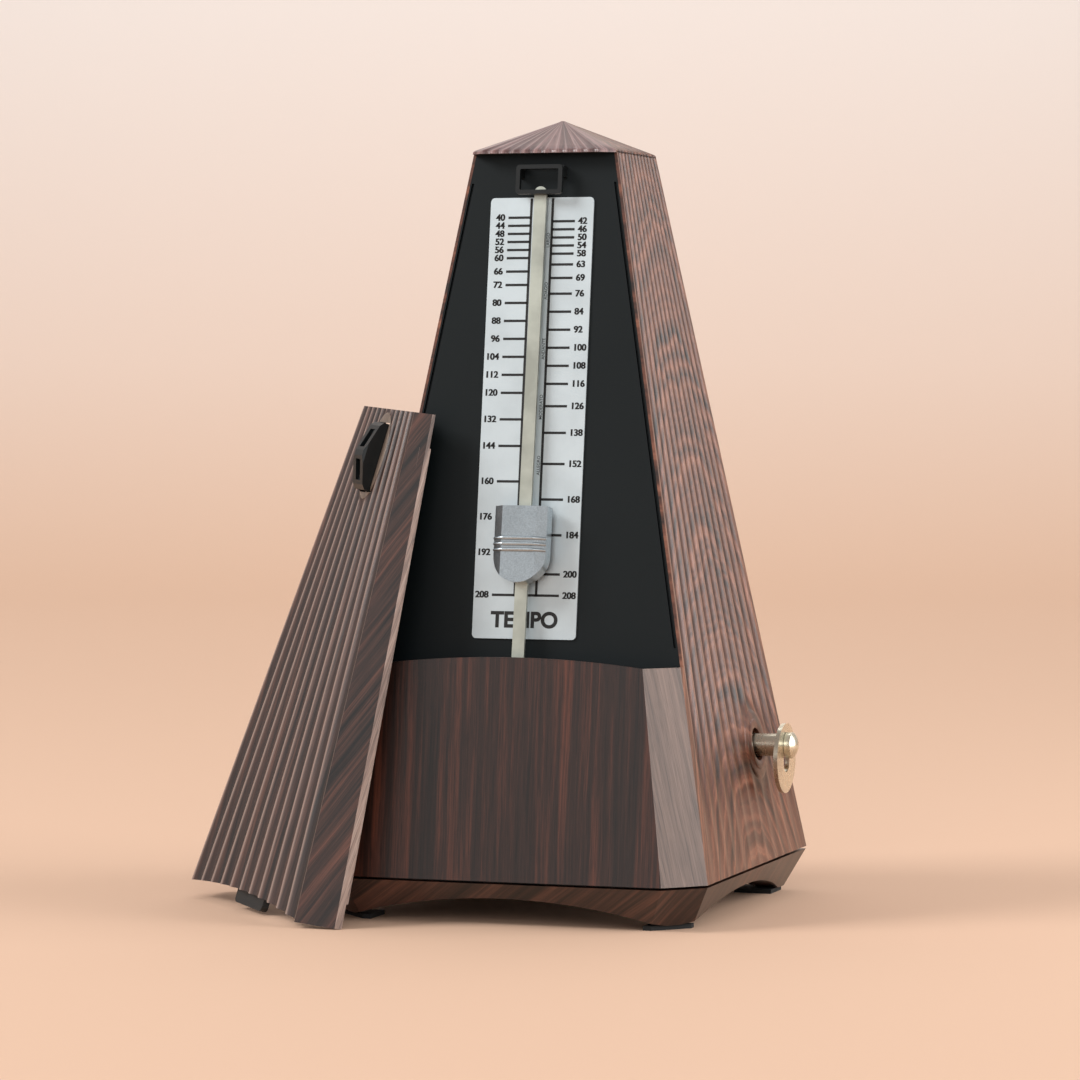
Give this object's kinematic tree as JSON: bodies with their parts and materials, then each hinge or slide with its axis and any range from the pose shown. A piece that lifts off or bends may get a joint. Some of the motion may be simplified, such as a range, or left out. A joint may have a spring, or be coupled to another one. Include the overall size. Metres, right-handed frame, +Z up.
{
  "type": "metronome",
  "caption": "Clockwork pyramid metronome with its front cover removed: swinging pendulum, sliding tempo weight, winding key and geared movement.",
  "frame": {"origin": "on the ground under the centre of the case, between the four feet", "axes": "+Z up, front face towards -Y, winding key towards +X"},
  "size_m": [0.1671, 0.131, 0.22],
  "materials": {
    "case_woodgrain": "glossy printed rosewood grain",
    "black_front": "fine satin black",
    "rubber_pad": "matt",
    "scale_silver": "satin printed plate",
    "rod_strip": "pale satin",
    "weight_castmetal": "satin die-cast",
    "key_metal": "polished",
    "steel": "satin",
    "brass_wheel": "satin",
    "bob_iron": "matt cast",
    "spring_steel": "blued"
  },
  "bodies": {
    "case": {"case_shell": "case_woodgrain", "base": "case_woodgrain", "foot_pads": "rubber_pad", "front_panel": "black_front", "scale_plate": "scale_silver", "pendulum_catch": "black_front", "left_plate": "steel", "right_plate": "steel", "frame_pillars": "brass_wheel", "pillar_screws": "steel", "movement_screws": "steel", "base_screws": "steel", "front_bar": "steel", "rear_cock": "steel", "click_screw": "steel"},
    "winding": {"winding_arbor": "steel", "ratchet_wheel": "steel", "key_stem": "key_metal", "key_cap": "key_metal"},
    "key_disc": {"key_plate": "key_metal"},
    "click_lever": {"click": "steel", "click_spring": "spring_steel"},
    "barrel": {"spring_barrel": "steel", "great_wheel": "brass_wheel", "barrel_cap": "steel", "mainspring": "spring_steel"},
    "second": {"second_arbor": "steel", "second_pinion": "steel", "second_wheel": "brass_wheel"},
    "escape": {"escape_arbor": "steel", "escape_pinion": "steel", "crown_wheel": "brass_wheel"},
    "pendulum": {"pendulum_rod": "rod_strip", "pendulum_hub": "brass_wheel", "pendulum_arbor": "steel", "pallets": "steel", "pendulum_bob": "bob_iron"},
    "weight": {"tempo_weight": "weight_castmetal", "weight_spring": "spring_steel"},
    "cover": {"cover_shell": "case_woodgrain", "cover_tab": "black_front", "latch_pin": "steel"},
    "latch": {"cover_latch": "black_front"}
  },
  "joints": [
    {"name": "winding_turn", "type": "hinge", "parent": "case", "child": "winding", "pos_m": [0, 0.0215, 0.0445], "axis": [1, 0, 0], "continuous": true},
    {"name": "key_disc_slide", "type": "slide", "parent": "winding", "child": "key_disc", "axis": [0, 0, 1], "range_m": [0, 0.0044]},
    {"name": "click_swing", "type": "hinge", "parent": "case", "child": "click_lever", "pos_m": [0, 0.0093, 0.05325], "axis": [1, 0, 0], "range_deg": [0, 12], "stiffness_Nm_per_rad": 0.002, "springref_deg": -11.46},
    {"name": "barrel_turn", "type": "hinge", "parent": "case", "child": "barrel", "pos_m": [0, 0.0215, 0.0445], "axis": [1, 0, 0], "continuous": true},
    {"name": "second_turn", "type": "hinge", "parent": "case", "child": "second", "pos_m": [0, -0.0047, 0.0425], "axis": [1, 0, 0], "continuous": true},
    {"name": "escape_turn", "type": "hinge", "parent": "case", "child": "escape", "pos_m": [0, -0.02155, 0.0488], "axis": [1, 0, 0], "continuous": true},
    {"name": "pendulum_swing", "type": "hinge", "parent": "case", "child": "pendulum", "pos_m": [0, -0.0423, 0.052], "axis": [0, 0.9882, -0.153], "range_deg": [-17.5, 17.5]},
    {"name": "weight_slide", "type": "slide", "parent": "pendulum", "child": "weight", "axis": [0, 0.153, 0.9882], "range_m": [-0.018, 0.0816]},
    {"name": "cover_draw_off", "type": "slide", "parent": "case", "child": "cover", "axis": [-0.7071, -0.7071, 0], "range_m": [0, 0.06]},
    {"name": "latch_press", "type": "hinge", "parent": "cover", "child": "latch", "pos_m": [-0.04639, -0.02457, 0.12566], "axis": [0.705, -0.7079, -0.0434], "range_deg": [-8, 8], "stiffness_Nm_per_rad": 0.02}
  ],
  "couplings": [
    {"joint": "second_turn", "follows": "barrel_turn", "ratio": -6},
    {"joint": "escape_turn", "follows": "barrel_turn", "ratio": 30}
  ]
}
